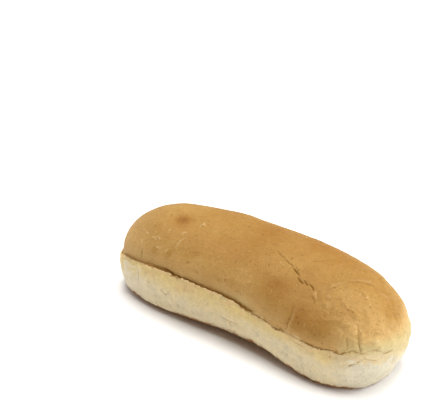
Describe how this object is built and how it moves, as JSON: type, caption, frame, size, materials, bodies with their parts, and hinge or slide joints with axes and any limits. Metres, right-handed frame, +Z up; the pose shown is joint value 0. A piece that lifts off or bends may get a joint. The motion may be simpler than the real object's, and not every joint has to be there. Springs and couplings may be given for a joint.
{
  "type": "hot dog bun",
  "caption": "Whole uncut hot dog bun, gently curved, with a browned domed crust, a torn pale side wall and a flat underside.",
  "frame": {"origin": "middle of the footprint's box, on the surface that the bun rests on", "axes": "+X along the bun's length, +Z up; the side that curves inward faces -Y"},
  "size_m": [0.1508, 0.0614, 0.0409],
  "materials": {
    "crust": "soft matte baked crust, golden brown above and pale cream on the side wall"
  },
  "bodies": {
    "root": {"bun": "crust"}
  },
  "joints": []
}
